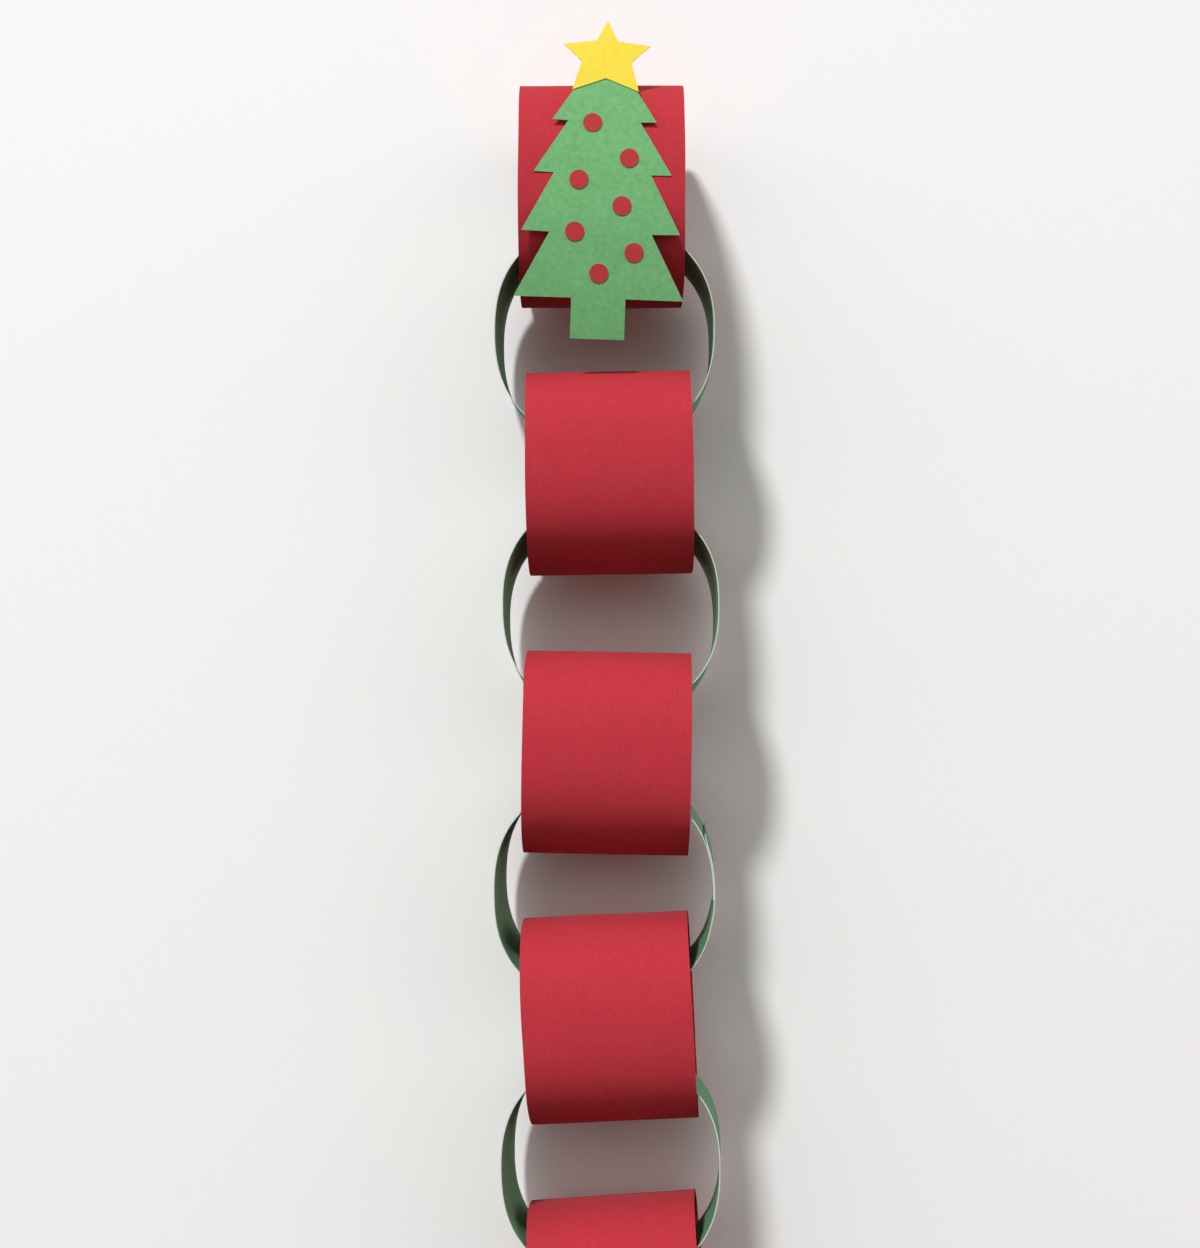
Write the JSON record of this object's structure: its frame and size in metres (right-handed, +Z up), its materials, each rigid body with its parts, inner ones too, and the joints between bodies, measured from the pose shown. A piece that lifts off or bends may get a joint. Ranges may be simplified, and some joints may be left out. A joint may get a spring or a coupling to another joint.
{
  "type": "paper chain garland",
  "caption": "Hanging garland of interlocked paper loops in two colours, with a cut paper tree, round ornaments and a star glued to the top loop.",
  "frame": {"origin": "middle of the top loop's flat back, on the wall", "axes": "+Z up, against the way the chain hangs; +Y into the wall; +X to the right as seen from the front"},
  "size_m": [0.0695, 0.0696, 0.4195],
  "materials": {
    "link_1_red": "matte",
    "link_2_green": "matte",
    "link_3_red": "matte",
    "link_4_green": "matte",
    "link_5_red": "matte",
    "link_6_green": "matte",
    "link_7_red": "matte",
    "link_8_green": "matte",
    "link_9_red": "matte",
    "tree": "matte",
    "star": "matte",
    "dot_1": "matte",
    "dot_2": "matte",
    "dot_3": "matte",
    "dot_4": "matte",
    "dot_5": "matte",
    "dot_6": "matte",
    "dot_7": "matte"
  },
  "bodies": {
    "root": {"link_1_red": "link_1_red", "link_2_green": "link_2_green", "link_3_red": "link_3_red", "link_4_green": "link_4_green", "link_5_red": "link_5_red", "link_6_green": "link_6_green", "link_7_red": "link_7_red", "link_8_green": "link_8_green", "link_9_red": "link_9_red", "tree": "tree", "star": "star", "dot_1": "dot_1", "dot_2": "dot_2", "dot_3": "dot_3", "dot_4": "dot_4", "dot_5": "dot_5", "dot_6": "dot_6", "dot_7": "dot_7"}
  },
  "joints": []
}
